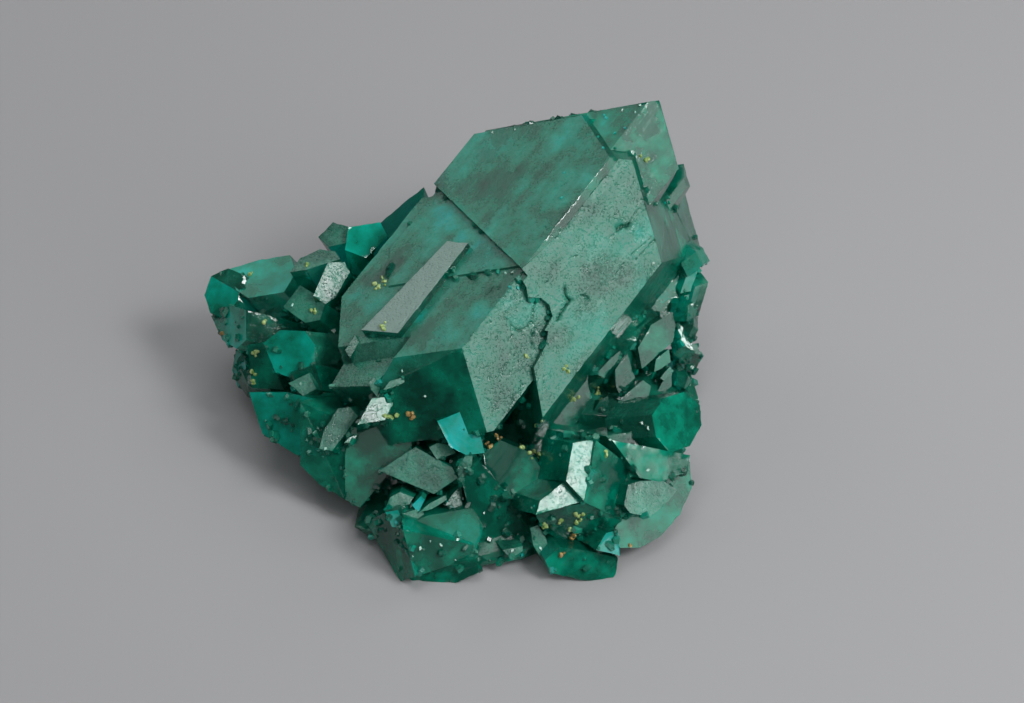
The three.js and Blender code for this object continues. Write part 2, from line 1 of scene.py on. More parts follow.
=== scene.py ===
import math
import random
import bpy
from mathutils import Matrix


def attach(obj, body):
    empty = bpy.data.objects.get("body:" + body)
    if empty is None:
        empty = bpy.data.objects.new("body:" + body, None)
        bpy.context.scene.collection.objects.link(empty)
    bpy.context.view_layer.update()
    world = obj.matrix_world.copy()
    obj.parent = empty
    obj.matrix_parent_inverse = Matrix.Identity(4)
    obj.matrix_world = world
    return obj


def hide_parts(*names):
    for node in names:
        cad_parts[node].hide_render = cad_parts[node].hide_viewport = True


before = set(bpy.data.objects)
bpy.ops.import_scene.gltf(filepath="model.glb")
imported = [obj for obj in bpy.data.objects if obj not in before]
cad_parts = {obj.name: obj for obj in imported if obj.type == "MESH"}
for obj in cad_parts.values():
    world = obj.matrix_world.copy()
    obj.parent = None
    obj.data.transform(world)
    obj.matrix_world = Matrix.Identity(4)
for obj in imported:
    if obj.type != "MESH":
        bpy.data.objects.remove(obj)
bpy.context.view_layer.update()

from types import SimpleNamespace

import bmesh
import bpy
from mathutils import Vector, noise
from mathutils.bvhtree import BVHTree
from mathutils.kdtree import KDTree

# The crystal cluster. One grown piece of clear to cloudy emerald green dioptase, a large crystal
# over smaller ones. The flat faces are the solid's own. The growth layers, etched skin, cracks
# and chipped edges that a real crystal carries are worked into a finer copy of the same solid.

# The sight line. Places on the specimen were measured as it is seen from the front, 42 degrees
# above level. A place is (across, down) in a picture 1024 wide and 703 high, where one step is
# 0.06 mm at the distance of the aim point.
MM = 0.001
VIEW_TILT = math.radians(42)
EYE_DISTANCE = 170
PICTURE_STEP = 0.06
PICTURE_MIDDLE = (512, 351.5)
AIM = Vector((3.44, -2.837, 8.0))
VIEW_UP = Vector((0, math.sin(VIEW_TILT), math.cos(VIEW_TILT)))
EYE = AIM + EYE_DISTANCE * Vector((0, -math.cos(VIEW_TILT), math.sin(VIEW_TILT)))


def sight(across, down):
    """The direction from the eye through a place in the picture."""
    u = (across - PICTURE_MIDDLE[0]) * PICTURE_STEP
    v = (PICTURE_MIDDLE[1] - down) * PICTURE_STEP
    return (AIM + Vector((u, 0, 0)) + v * VIEW_UP - EYE).normalized()


LONG_AXIS = Vector((0.591, 0.714, 0.376)).normalized()
END_STREAK = Vector((0.279, -0.553, -0.785)).normalized()
END_FACE = Vector((0.92, -0.081, 0.384)).normalized()
WELD = 0.0005
FLAT_ANGLE = math.radians(0.4)
SHORTEST_STREAK = 0.5
SMALL_FACET = 6

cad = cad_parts["dioptase_cluster"]
fine = bmesh.new()
fine.from_mesh(cad.data)
bmesh.ops.scale(fine, vec=(1 / MM, 1 / MM, 1 / MM), verts=fine.verts)
bmesh.ops.remove_doubles(fine, verts=fine.verts, dist=WELD)
bmesh.ops.dissolve_limit(fine, angle_limit=FLAT_ANGLE, verts=fine.verts, edges=fine.edges)
fine.normal_update()
facet_layer = fine.faces.layers.int.new("facet")
dice = random.Random(7)
facets = []
for index, face in enumerate(fine.faces):
    face[facet_layer] = index
    normal = face.normal.copy()
    streak = LONG_AXIS - LONG_AXIS.dot(normal) * normal
    if streak.length < SHORTEST_STREAK:
        streak = END_STREAK - END_STREAK.dot(normal) * normal
    if face.calc_area() < SMALL_FACET:
        turned = Vector([dice.gauss(0, 1) for axis in range(3)])
        streak = turned - turned.dot(normal) * normal
    facets.append(SimpleNamespace(
        normal=normal, streak=streak.normalized(), seed=dice.uniform(0, 90), kind=None,
        frost=0.3 * dice.random() ** 2, cloud=dice.uniform(0.45, 0.7), tone=dice.uniform(0.08, 0.4),
        relief=0.012, lines=0.3))
whole = BVHTree.FromBMesh(fine)


def seen(across, down):
    """The point and the facet that the sight line through a place meets first."""
    point, normal, index, distance = whole.ray_cast(EYE, sight(across, down))
    return point, index


# frost: pale etched skin. cloud: milky body against clear body. tone: 0 deep green to 1 turquoise.
# relief: height of growth layers in mm. lines: strength of the fine streaks.
KINDS = {
    "pale": dict(frost=0.85, cloud=0.75, tone=0.34, relief=0.035, lines=0.25),
    "top": dict(frost=0.42, cloud=0.70, tone=0.40, relief=0.045, lines=0.9),
    "strip": dict(frost=1.7, cloud=0.85, tone=0.34, relief=0.015, lines=0.2),
    "plate": dict(frost=0.55, cloud=0.75, tone=0.32, relief=0.03, lines=0.5),
    "smooth": dict(frost=0.0, cloud=0.70, tone=0.17, relief=0.004, lines=0.1),
    # far end: tone lowered as painted shade against the strong right panel.
    "far end": dict(frost=0.0, cloud=0.95, tone=0.24, relief=0.012, lines=0.7),
    "striped": dict(frost=0.05, cloud=0.95, tone=0.0, relief=0.03, lines=1.0),
    "flank": dict(frost=0.05, cloud=0.70, tone=0.20, relief=0.04, lines=1.0),
    # step: faces turned like the pale ones but lying in shade below the band, painted the deepest green
    # with little frost as painted shade, and kept dark against the strong right panel as well.
    "step": dict(frost=0.15, cloud=0.95, tone=0.0, relief=0.01, lines=0.3),
    "white": dict(frost=0.30, cloud=0.85, tone=0.30, relief=0.008, lines=0.2),
    # grey: tone lowered as painted shade against the strong right panel, on the left faces as well as
    # the right.
    "grey": dict(frost=0.55, cloud=0.90, tone=0.10, relief=0.01, lines=0.3),
    # turquoise: small thin crystals given the brightest turquoise tone, a painted glow of light shining
    # through them.
    "turquoise": dict(frost=0.12, cloud=0.85, tone=0.88, relief=0.06, lines=0.3),
    # teal: rim faces given a bright turquoise tone, a painted glow of light passing through the thin
    # rims.
    "teal": dict(frost=0.02, cloud=0.90, tone=0.62, relief=0.02, lines=0.2),
    # lit side: the same rim faces on the right, given a darker tone as painted shade against the strong
    # right panel.
    "lit side": dict(frost=0.02, cloud=0.90, tone=0.30, relief=0.02, lines=0.3),
    "dark": dict(frost=0.0, cloud=0.88, tone=0.10, relief=0.03, lines=0.5),
}
PLACES = {
    "pale": [(590, 240), (560, 330), (548, 385), (610, 300), (500, 360), (492, 400), (525, 310)],
    "top": [(470, 180), (540, 170), (500, 215), (430, 215), (395, 260), (350, 312), (430, 315),
            (455, 330), (480, 300), (390, 290), (470, 270)],
    "strip": [(420, 282), (385, 320), (455, 246)],
    "plate": [(362, 362), (388, 351), (350, 380), (378, 372)],
    "smooth": [(430, 385), (470, 400), (412, 405), (480, 430), (400, 340)],
    "far end": [(612, 122), (650, 125), (660, 150), (637, 150)],
    "striped": [(665, 230), (680, 240), (660, 200)],
    "flank": [(600, 362), (640, 318), (660, 298), (575, 390)],
    "step": [(658, 335), (625, 375), (640, 396), (662, 362), (665, 387), (570, 415), (602, 406),
             (607, 366), (646, 418), (612, 418)],
    "white": [(378, 410), (583, 455), (578, 480), (556, 497), (316, 436), (350, 440)],
    "grey": [(303, 385), (335, 278), (303, 305), (350, 347), (374, 388), (395, 383), (442, 451),
             (465, 468), (400, 503), (413, 517), (432, 504), (455, 497), (539, 541), (512, 552),
             (420, 470), (335, 430), (650, 498), (338, 232), (318, 256)],
    "turquoise": [(462, 430), (392, 519), (418, 505), (238, 370), (607, 545)],
    # The teal rims carry a painted glow and the lit side rims a painted shade.
    "teal": [(222, 295), (262, 275), (290, 355), (300, 425), (365, 235), (230, 320)],
    "lit side": [(680, 425), (675, 520), (640, 460), (655, 445)],
    "dark": [(270, 420), (330, 465), (380, 450), (505, 470), (500, 520), (440, 552), (392, 555),
             (440, 578), (607, 475), (580, 520), (575, 565), (265, 372), (610, 495)],
}
for kind, places in PLACES.items():
    for place in places:
        point, index = seen(*place)
        if index is not None and facets[index].kind is None:
            facets[index].kind = kind
            facets[index].__dict__.update(KINDS[kind])
for facet in facets:
    if facet.normal.dot(END_FACE) > 0.99:
        facet.streak = (END_STREAK - END_STREAK.dot(facet.normal) * facet.normal).normalized()

# Cracks and pits in the large faces: places along each one, its width and its depth in mm.
CRACKS = [
    (0.16, 0.25, [(565, 288), (566, 296), (570, 300), (566, 306), (562, 313), (557, 321)]),
    (0.12, 0.12, [(581, 294), (586, 296), (589, 300)]),
    (0.28, 0.28, [(617, 232), (623, 227), (630, 223)]),
    (0.07, 0.08, [(609, 239), (617, 232), (630, 222), (633, 216), (639, 208)]),
    (0.07, 0.08, [(617, 273), (625, 262), (640, 247), (652, 237)]),
    (0.09, 0.08, [(636, 259), (645, 250), (655, 240)]),
    (0.09, 0.08, [(572, 257), (577, 255)]),
    (0.08, 0.08, [(545, 283), (550, 281)]),
    (0.06, 0.07, [(543, 375), (544, 385), (547, 397)]),
    (0.06, 0.07, [(537, 384), (541, 400)]),
    (0.05, 0.05, [(545, 226), (550, 235), (556, 238), (560, 230)]),
    (0.05, 0.05, [(600, 190), (606, 200), (604, 212)]),
    (0.08, 0.08, [(505, 318), (509, 321), (513, 327), (512, 336), (508, 341)]),
    (0.09, 0.09, [(513, 327), (520, 331), (527, 327), (532, 321), (533, 312), (535, 302)]),
    (0.09, 0.10, [(532, 321), (536, 330), (531, 340), (535, 350), (538, 357)]),
    (0.06, 0.06, [(474, 377), (480, 379), (486, 376), (489, 380)]),
    (0.05, 0.06, [(500, 395), (508, 376), (518, 361)]),
    (0.05, 0.06, [(502, 415), (513, 398), (523, 384)]),
    (0.05, 0.06, [(507, 412), (517, 396), (526, 383)]),
    (0.06, 0.06, [(518, 378), (524, 386)]),
    (0.06, 0.06, [(486, 398), (494, 404), (498, 408)]),
    (0.07, 0.07, [(516, 352), (512, 359), (505, 365)]),
    (0.07, 0.05, [(404, 322), (410, 312), (416, 306)]),
    (0.06, 0.05, [(553, 190), (566, 183)]),
    (0.08, 0.05, [(485, 295), (492, 288), (500, 287)]),
    (0.09, 0.06, [(488, 312), (491, 322)]),
    (0.05, 0.05, [(400, 470), (408, 458), (414, 452)]),
    (0.06, 0.05, [(424, 474), (433, 466), (440, 470)]),
]
CRACK_STEP = 0.04
crack_points = []
for width, depth, places in CRACKS:
    stops = [seen(*place) for place in places]
    stops = [(point, index) for point, index in stops if point is not None]
    for (start, index), (stop, other) in zip(stops, stops[1:]):
        pieces = max(1, int((stop - start).length / CRACK_STEP))
        for piece in range(pieces + 1):
            on_line = start.lerp(stop, piece / pieces)
            wander = 0.05 * noise.noise_vector(on_line * 3) + 0.04 * noise.noise_vector(on_line * 11)
            fade = 0.6 + 0.8 * noise.noise(on_line * 5)
            crack_points.append((on_line + wander, width * max(0.45, fade), depth, index))
crack_tree = KDTree(len(crack_points))
for number, (point, width, depth, index) in enumerate(crack_points):
    crack_tree.insert(point, number)
crack_tree.balance()

# Long edges are halved until a face can carry its relief: finer where the cracks run. A round
# that leaves about as many long edges as the one before is the last one.
HIDDEN_EDGE = 0.65
SEEN_EDGE = 0.29
CRACK_EDGE = 0.10
CRACK_REACH = 0.16
MOST_HALVINGS = 6
STALLED = 0.9


def halve(edges):
    bmesh.ops.subdivide_edges(fine, edges=edges, cuts=1)
    touched = [face for face in fine.faces if len(face.verts) > 3]
    bmesh.ops.triangulate(fine, faces=touched, quad_method="BEAUTY", ngon_method="BEAUTY")


def is_seen(edge):
    toward_eye = EYE - edge.verts[0].co
    return any(facets[face[facet_layer]].normal.dot(toward_eye) > 0 for face in edge.link_faces)


def is_cracked(edge):
    point, number, distance = crack_tree.find((edge.verts[0].co + edge.verts[1].co) / 2)
    return distance < CRACK_REACH


bmesh.ops.triangulate(fine, faces=fine.faces, quad_method="BEAUTY", ngon_method="BEAUTY")
for limit, wanted in [(HIDDEN_EDGE, None), (SEEN_EDGE, is_seen), (CRACK_EDGE, is_cracked)]:
    left = math.inf
    for halving in range(MOST_HALVINGS):
        long_edges = [edge for edge in fine.edges if edge.calc_length() > limit]
        long_edges = [edge for edge in long_edges if wanted is None or wanted(edge)]
        if not long_edges or (halving > 1 and len(long_edges) > STALLED * left):
            break
        left = len(long_edges)
        halve(long_edges)

# Bright teal spots under the faces: place, radius in mm and strength.
TINTS = [
    ((441, 214), 0.8, 0.9), ((436, 200), 0.5, 0.6), ((428, 188), 0.7, 0.8), ((452, 226), 0.5, 0.6),
    ((462, 237), 0.5, 0.9), ((478, 246), 0.6, 0.9), ((486, 256), 0.9, 0.9), ((496, 250), 0.5, 0.7),
    ((330, 333), 0.6, 1.0), ((358, 294), 0.7, 0.6), ((420, 315), 0.7, 0.6), ((475, 313), 0.7, 0.6),
    ((372, 305), 0.6, 0.6), ((440, 335), 0.7, 0.5), ((490, 152), 1.0, 0.5), ((505, 140), 0.9, 0.5),
    ((515, 130), 0.6, 0.4), ((575, 140), 1.0, 0.5), ((590, 120), 0.9, 0.9), ((600, 128), 0.8, 0.8),
    ((640, 232), 0.6, 0.7), ((650, 225), 0.7, 0.5), ((645, 280), 0.9, 0.5), ((620, 222), 0.6, 0.4),
    ((520, 315), 1.0, 0.5), ((528, 300), 0.8, 0.5), ((510, 300), 0.9, 0.5), ((585, 320), 1.3, 0.35),
    ((600, 260), 1.4, 0.3), ((583, 195), 0.7, 0.4), ((575, 350), 0.8, 0.3), ((490, 268), 0.8, 0.6),
]
tints_of = {}
for place, radius, strength in TINTS:
    point, index = seen(*place)
    if point is not None:
        tints_of.setdefault(index, []).append((point, radius, strength))

# The bed is where the small crystals sit: along the valleys and on the lower sides.
VALLEY_ANGLE = math.radians(14)
LOWEST_BED = 0.5
CRUST_TOP = 7.0
BARE = ("pale", "top", "smooth", "flank", "white", "strip")
looks_read = ("frost", "cloud", "tone", "lines")
layers = {name: fine.faces.layers.float.new(name) for name in looks_read + ("bed",)}
streak_layer = fine.faces.layers.float_vector.new("streak")
crack_layer = fine.verts.layers.float.new("crack")
tint_layer = fine.verts.layers.float.new("tint")
for face in fine.faces:
    facet = facets[face[facet_layer]]
    for name in looks_read:
        face[layers[name]] = getattr(facet, name)
    face[streak_layer] = facet.streak
    centre = face.calc_center_median()
    in_valley = any(
        len(edge.link_faces) == 2 and not edge.is_convex
        and edge.link_faces[0][facet_layer] != edge.link_faces[1][facet_layer]
        and edge.calc_face_angle() > VALLEY_ANGLE for edge in face.edges)
    crust = noise.noise(centre * 0.55) + 0.5 * noise.noise(centre * 1.7)
    if centre.z < LOWEST_BED:
        face[layers["bed"]] = 0.0
    elif in_valley:
        face[layers["bed"]] = 0.9 if crust > -0.15 else 0.15
    elif centre.z < CRUST_TOP and facet.normal.z < 0.6 and facet.kind not in BARE:
        face[layers["bed"]] = 0.30 if crust > -0.05 else 0.05

# Growth layers raise and lower each face, and the edges between faces are chipped.
CHIP = 0.03
LAYER_STEPS = 5
moves = []
for vertex in fine.verts:
    around = {face[facet_layer] for face in vertex.link_faces}
    place = vertex.co
    if len(around) == 1:
        facet = facets[next(iter(around))]
        side = facet.normal.cross(facet.streak)
        along, across = place.dot(facet.streak), place.dot(side)
        sway = noise.noise(Vector((along * 0.25, across * 1.3, facet.seed)))
        layer_height = round(sway * LAYER_STEPS) / LAYER_STEPS
        grain = noise.noise(Vector((along * 1.4, across * 5.0, facet.seed + 7)))
        moves.append(facet.normal * (facet.relief * (0.7 * layer_height + 0.35 * grain - 0.5)))
    else:
        outward = sum((facets[index].normal for index in around), Vector()).normalized()
        bite = max(0.0, noise.noise(place * 1.7) + 0.35 * noise.noise(place * 6))
        moves.append(-outward * CHIP * (0.25 + 2.2 * bite))
    point, number, distance = crack_tree.find(place)
    reach, depth, index = crack_points[number][1:]
    if distance < reach:
        strength = 1 - (distance / reach) ** 2
        vertex[crack_layer] = strength
        moves[-1] -= facets[index].normal * depth * strength
    for point, radius, strength in [tint for index in around for tint in tints_of.get(index, [])]:
        wander = 1 + 0.5 * noise.noise(place * 2.2)
        amount = strength * max(0.0, 1 - (point - place).length / (1.5 * radius * wander))
        vertex[tint_layer] = max(vertex[tint_layer], min(1.0, 1.6 * amount))
for vertex, move in zip(fine.verts, moves):
    vertex.co += move
for edge in fine.edges:
    first, second = edge.link_faces[0], edge.link_faces[-1]
    edge.smooth = first[facet_layer] == second[facet_layer]
for face in fine.faces:
    face.smooth = True
bmesh.ops.scale(fine, vec=(MM, MM, MM), verts=fine.verts)

mesh = bpy.data.meshes.new("dioptase_crystals")
fine.to_mesh(mesh)
fine.free()
crystals = bpy.data.objects.new("dioptase_crystals", mesh)
bpy.context.scene.collection.objects.link(crystals)


class Value:
    """A shader socket that Python arithmetic turns into Math nodes."""

    def __init__(self, finish, socket):
        self.finish = finish
        self.socket = socket

    def math(self, operation, first, second=0.0, clamp=False):
        settings = {"operation": operation, "use_clamp": clamp}
        return self.finish.node("ShaderNodeMath", settings, {0: first, 1: second})

    def __add__(self, other):
        return self.math("ADD", self, other)

    def __sub__(self, other):
        return self.math("SUBTRACT", self, other)

    def __mul__(self, other):
        return self.math("MULTIPLY", self, other)

    def __rsub__(self, other):
        return self.math("SUBTRACT", other, self)

    __radd__ = __add__
    __rmul__ = __mul__

    def clamped(self):
        return self.math("ADD", self, 0.0, clamp=True)


class Finish:
    """A material and the one way its nodes are made."""

    def __init__(self, name):
        self.material = bpy.data.materials.new(name)
        self.material.use_nodes = True
        self.tree = self.material.node_tree
        self.tree.nodes.clear()

    def node(self, kind, settings=None, inputs=None, output=0):
        node = self.tree.nodes.new(kind)
        for key, setting in (settings or {}).items():
            if key == "stops":
                ramp = node.color_ramp
                while len(ramp.elements) < len(setting):
                    ramp.elements.new(0.5)
                for element, (position, colour) in zip(ramp.elements, setting):
                    element.position = position
                    element.color = colour
            else:
                setattr(node, key, setting)
        for key, given in (inputs or {}).items():
            if isinstance(given, Value):
                self.tree.links.new(given.socket, node.inputs[key])
            else:
                node.inputs[key].default_value = given
        return Value(self, node.outputs[output]) if node.outputs else None

    def attribute(self, name, output="Fac"):
        return self.node("ShaderNodeAttribute", {"attribute_name": name}, output=output)

    def noise(self, place, scale, detail=3.0, roughness=0.5):
        return self.node("ShaderNodeTexNoise", {}, {
            "Vector": place, "Scale": scale, "Detail": detail, "Roughness": roughness}, "Fac")

    def between(self, value, low, high, to_low=0.0, to_high=1.0):
        return self.node("ShaderNodeMapRange", {"clamp": True}, {
            "Value": value, "From Min": low, "From Max": high, "To Min": to_low, "To Max": to_high})

    def blend_colours(self, factor, first, second):
        return self.node("ShaderNodeMix", {"data_type": "RGBA"}, {0: factor, 6: first, 7: second}, 2)

    def vector(self, operation, first, second=None, output="Vector"):
        inputs = {0: first} if second is None else {0: first, 1: second}
        return self.node("ShaderNodeVectorMath", {"operation": operation}, inputs, output)


dioptase = Finish("emerald_green_dioptase")
place = dioptase.node("ShaderNodeTexCoord", output="Object")
frost = dioptase.attribute("frost")
cloud = dioptase.attribute("cloud")
tone = dioptase.attribute("tone")
lines = dioptase.attribute("lines")
crack = dioptase.attribute("crack")
tint = dioptase.attribute("tint")
streak = dioptase.attribute("streak", "Vector")

# Noise scales are per metre. For the streaks the place is squeezed along the streak, so that the
# pattern is drawn out that way.
along = dioptase.vector("DOT_PRODUCT", place, streak, "Value")
drawn_out = dioptase.node("ShaderNodeVectorMath", {"operation": "SCALE"}, {0: streak, 3: along * -0.88})
squeezed = dioptase.vector("ADD", place, drawn_out)
streaks = dioptase.noise(squeezed, 3600, detail=5, roughness=0.62)
broad_streaks = dioptase.noise(squeezed, 900, detail=3, roughness=0.5)

speckle = dioptase.noise(place, 7500, detail=2, roughness=0.6)
patches = dioptase.noise(place, 380, detail=4, roughness=0.6)
haze = dioptase.noise(place, 1600, detail=5, roughness=0.7)

worn = (haze * 0.45 + patches * 0.3 + (streaks * lines + haze * (1.0 - lines)) * 0.5)
skin = (frost * dioptase.between(worn, 0.44, 0.72, 0.35, 1.15)
        * dioptase.between(speckle, 0.38, 0.50, 0.45, 1.0)
        * (1.0 - crack) * (1.0 - tint * 0.75)).clamped()

DEEP = (0.0, 0.10, 0.062, 1)
EMERALD = (0.0, 0.25, 0.150, 1)
TEAL = (0.0, 0.38, 0.275, 1)
TURQUOISE = (0.0, 0.46, 0.43, 1)
PALE = (0.10, 0.21, 0.17, 1)
PALEST = (0.24, 0.36, 0.32, 1)
depth_tone = (tone * 0.9 + tint * 0.4 + (patches - 0.5) * 1.4 + (haze - 0.5) * 0.5
              + (broad_streaks - 0.5) * lines * 0.9).clamped()
# Along the cracks the body tone is pushed towards deep green, a painted shade in the grooves.
body_colour = dioptase.node("ShaderNodeValToRGB", {
    "stops": [(0.0, DEEP), (0.33, EMERALD), (0.66, TEAL), (1.0, TURQUOISE)]},
    {0: (depth_tone * (1.0 - crack * 0.8)).clamped()})
skin_colour = dioptase.blend_colours((skin * 0.8).clamped(), body_colour, PALE)
skin_colour = dioptase.blend_colours(dioptase.between(frost, 1.0, 1.7), skin_colour, PALEST)
roughness = dioptase.between(skin, 0.0, 0.8, 0.07, 0.38)
pits = dioptase.between(speckle, 0.30, 0.48)
height = pits * frost * 0.9 + streaks * lines * 1.3 + haze * (frost * 0.9 + 0.12)
bump = dioptase.node("ShaderNodeBump", {}, {
    "Strength": 0.75, "Distance": 0.028 * MM, "Height": height})

glass = dioptase.node("ShaderNodeBsdfPrincipled", {}, {
    "Base Color": (0.10, 1.0, 0.88, 1), "Roughness": roughness, "IOR": 1.66,
    "Transmission Weight": 1.0, "Normal": bump})
milk = dioptase.node("ShaderNodeBsdfPrincipled", {}, {
    "Base Color": skin_colour, "Roughness": roughness, "IOR": 1.66, "Specular IOR Level": 0.28,
    "Normal": bump})
cover = (cloud * dioptase.between(patches, 0.35, 0.65, 0.65, 1.1) + skin * 0.4).clamped()
surface = dioptase.node("ShaderNodeMixShader", {}, {0: cover, 1: glass, 2: milk})
inside = dioptase.node("ShaderNodeVolumeAbsorption", {}, {
    "Color": (0.0, 0.88, 0.85, 1), "Density": 2300.0})
dioptase.node("ShaderNodeOutputMaterial", {}, {"Surface": surface, "Volume": inside})
mesh.materials.append(dioptase.material)

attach(crystals, "root")
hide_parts("dioptase_cluster")

# The small crystals. Tiny green dioptase crystals that grew along the valleys between the large
# ones and over the lower sides, half sunk in the faces that carry them.
PRISM_FOOT = -1.3
HIGH_CORNER = 0.85
APEX = 1.35
corners = [(math.cos(math.radians(60 * turn)), math.sin(math.radians(60 * turn))) for turn in range(6)]
foot_ring = [(x, y, PRISM_FOOT) for x, y in corners]
top_ring = [(x, y, 2 * HIGH_CORNER - APEX if turn % 2 else HIGH_CORNER)
            for turn, (x, y) in enumerate(corners)]
prism_faces = [(turn, (turn + 1) % 6, 6 + (turn + 1) % 6, 6 + turn) for turn in range(6)]
prism_faces += [(12, 6 + turn, 7 + turn, 6 + (turn + 2) % 6) for turn in (0, 2, 4)]
prism_faces.append((5, 4, 3, 2, 1, 0))
prism_mesh = bpy.data.meshes.new("small_prism")
prism_mesh.from_pydata(foot_ring + top_ring + [(0, 0, APEX)], [], prism_faces)
prism = bpy.data.objects.new("small_prism", prism_mesh)
bpy.context.scene.collection.objects.link(prism)

scatter = bpy.data.node_groups.new("crystals_on_bed", "GeometryNodeTree")
for name, kind in [("Geometry", "NodeSocketGeometry"), ("Crystal", "NodeSocketObject"),
                   ("Per Square Metre", "NodeSocketFloat"), ("Smallest", "NodeSocketFloat"),
                   ("Largest", "NodeSocketFloat"), ("Seed", "NodeSocketInt"),
                   ("Material", "NodeSocketMaterial")]:
    scatter.interface.new_socket(name, in_out="INPUT", socket_type=kind)
scatter.interface.new_socket("Geometry", in_out="OUTPUT", socket_type="NodeSocketGeometry")


def step(kind, links=None, **settings):
    """One node of the scatter, its settings and what goes into its sockets."""
    node = scatter.nodes.new(kind)
    for key, setting in settings.items():
        setattr(node, key, setting)
    for key, given in (links or {}).items():
        if isinstance(given, bpy.types.NodeSocket):
            scatter.links.new(given, node.inputs[key])
        else:
            node.inputs[key].default_value = given
    return node


given = step("NodeGroupInput").outputs
bed = step("GeometryNodeInputNamedAttribute", {"Name": "bed"}, data_type="FLOAT")
density = step("ShaderNodeMath", {0: bed.outputs[0], 1: given["Per Square Metre"]}, operation="MULTIPLY")
points = step("GeometryNodeDistributePointsOnFaces", {
    "Mesh": given["Geometry"], "Density": density.outputs[0], "Seed": given["Seed"]})
lean = step("FunctionNodeRandomValue", {0: (-1.1, -1.1, 0.0), 1: (1.1, 1.1, 6.28), "Seed": 3},
            data_type="FLOAT_VECTOR")
turn = step("FunctionNodeEulerToRotation", {0: lean.outputs[0]})
leaning = step("FunctionNodeRotateRotation", {0: points.outputs["Rotation"], 1: turn.outputs[0]},
               rotation_space="LOCAL")
size = step("FunctionNodeRandomValue", {
    2: given["Smallest"], 3: given["Largest"], "Seed": given["Seed"]}, data_type="FLOAT")
shape = step("GeometryNodeObjectInfo", {"Object": given["Crystal"]})
placed = step("GeometryNodeInstanceOnPoints", {
    "Points": points.outputs["Points"], "Instance": shape.outputs["Geometry"],
    "Rotation": leaning.outputs[0], "Scale": size.outputs[1]})
solid = step("GeometryNodeRealizeInstances", {0: placed.outputs[0]})
painted = step("GeometryNodeSetMaterial", {0: solid.outputs[0], "Material": given["Material"]})
step("NodeGroupOutput", {0: painted.outputs[0]})

small = bpy.data.objects.new("dioptase_small_crystals", mesh.copy())
bpy.context.scene.collection.objects.link(small)
modifier = small.modifiers.new("crystals_on_bed", "NODES")
modifier.node_group = scatter
choices = {"Crystal": prism, "Per Square Metre": 6.5e6, "Smallest": 0.05 * MM, "Largest": 0.27 * MM,
           "Seed": 11, "Material": dioptase.material}
for item in scatter.interface.items_tree:
    if item.in_out == "INPUT" and item.name in choices:
        modifier[item.identifier] = choices[item.name]
small.update_tag()
evaluated = small.evaluated_get(bpy.context.evaluated_depsgraph_get())
small_mesh = bpy.data.meshes.new_from_object(evaluated)
small.modifiers.clear()
small.data = small_mesh
bpy.data.objects.remove(prism)


def give_looks(target, faces_each, looks):
    """Writes the attributes that the green material reads, around one value for each crystal."""
    for name in looks_read + ("crack", "tint", "streak", "bed"):
        if name in target.attributes:
            target.attributes.remove(target.attributes[name])
    for name, (low, high) in looks.items():
        values = target.attributes.new(name, "FLOAT", "FACE").data
        for number in range(0, len(values), faces_each):
            own = low + (high - low) * dice.random()
            for value in values[number:number + faces_each]:
                value.value = own * dice.uniform(0.7, 1.3)


give_looks(small_mesh, len(prism_faces), {
    "frost": (0.0, 0.30), "cloud": (0.45, 0.85), "tone": (0.0, 0.55), "lines": (0.1, 0.3)})
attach(small, "root")

# The yellow-green grains. Crumbs of a pale yellow-green mineral, grown on the faces in small
# groups of a tenth to a quarter of a millimetre.
LARGEST_CRUMB = 0.15
GROUP_SPREAD = 2.0


def crumb(builder, middle, radius):
    """One small uneven lump of a mineral grain."""
    made = bmesh.ops.create_icosphere(builder, subdivisions=2, radius=radius)["verts"]
    stretch = Vector([dice.uniform(0.7, 1.25) for axis in range(3)])
    for vertex in made:
        bulge = 1 + 0.45 * noise.noise(vertex.co / radius + middle * 5)
        vertex.co = middle + vertex.co * stretch * bulge


def grains(name, places, material):
    """Small groups of crumbs at the given places of the picture, as one piece."""
    builder = bmesh.new()
    for across, down in places:
        for piece in range(dice.randint(2, 5)):
            point, index = seen(
                across + dice.gauss(0, GROUP_SPREAD), down + dice.gauss(0, GROUP_SPREAD))
            if point is not None:
                crumb(builder, point, dice.uniform(0.45, 1.0) * LARGEST_CRUMB)
    bmesh.ops.scale(builder, vec=(MM, MM, MM), verts=builder.verts)
    made = bpy.data.meshes.new(name)
    builder.to_mesh(made)
    builder.free()
    made.materials.append(material)
    piece = bpy.data.objects.new(name, made)
    bpy.context.scene.collection.objects.link(piece)
    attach(piece, "root")


def grain_finish(name, dark, light):
    """A dull mineral finish that wanders between two colours."""
    finish = Finish(name)
    spot = finish.node("ShaderNodeTexCoord", output="Object")
    cloudy = finish.between(finish.noise(spot, 5200, detail=3), 0.35, 0.65)
    finish.node("ShaderNodeOutputMaterial", {}, {"Surface": finish.node("ShaderNodeBsdfPrincipled", {}, {
        "Base Color": finish.blend_colours(cloudy, dark, light),
        "Roughness": finish.between(cloudy, 0.0, 1.0, 0.55, 0.3)})})
    return finish.material


YELLOW_GREEN_PLACES = [
    (307, 267), (251, 274), (263, 320), (315, 311), (257, 353), (254, 375), (253, 380), (378, 285),
    (376, 288), (384, 279), (384, 325), (383, 330), (388, 416), (397, 415), (526, 354), (567, 369),
    (573, 399), (597, 392), (520, 448), (538, 456), (562, 520), (582, 520), (545, 524), (607, 454),
    (541, 424), (645, 160), (533, 453), (578, 515), (576, 528),
]
grains("yellow_green_grains", YELLOW_GREEN_PLACES,
       grain_finish("yellow_green_grain", (0.16, 0.30, 0.05, 1), (0.52, 0.66, 0.28, 1)))

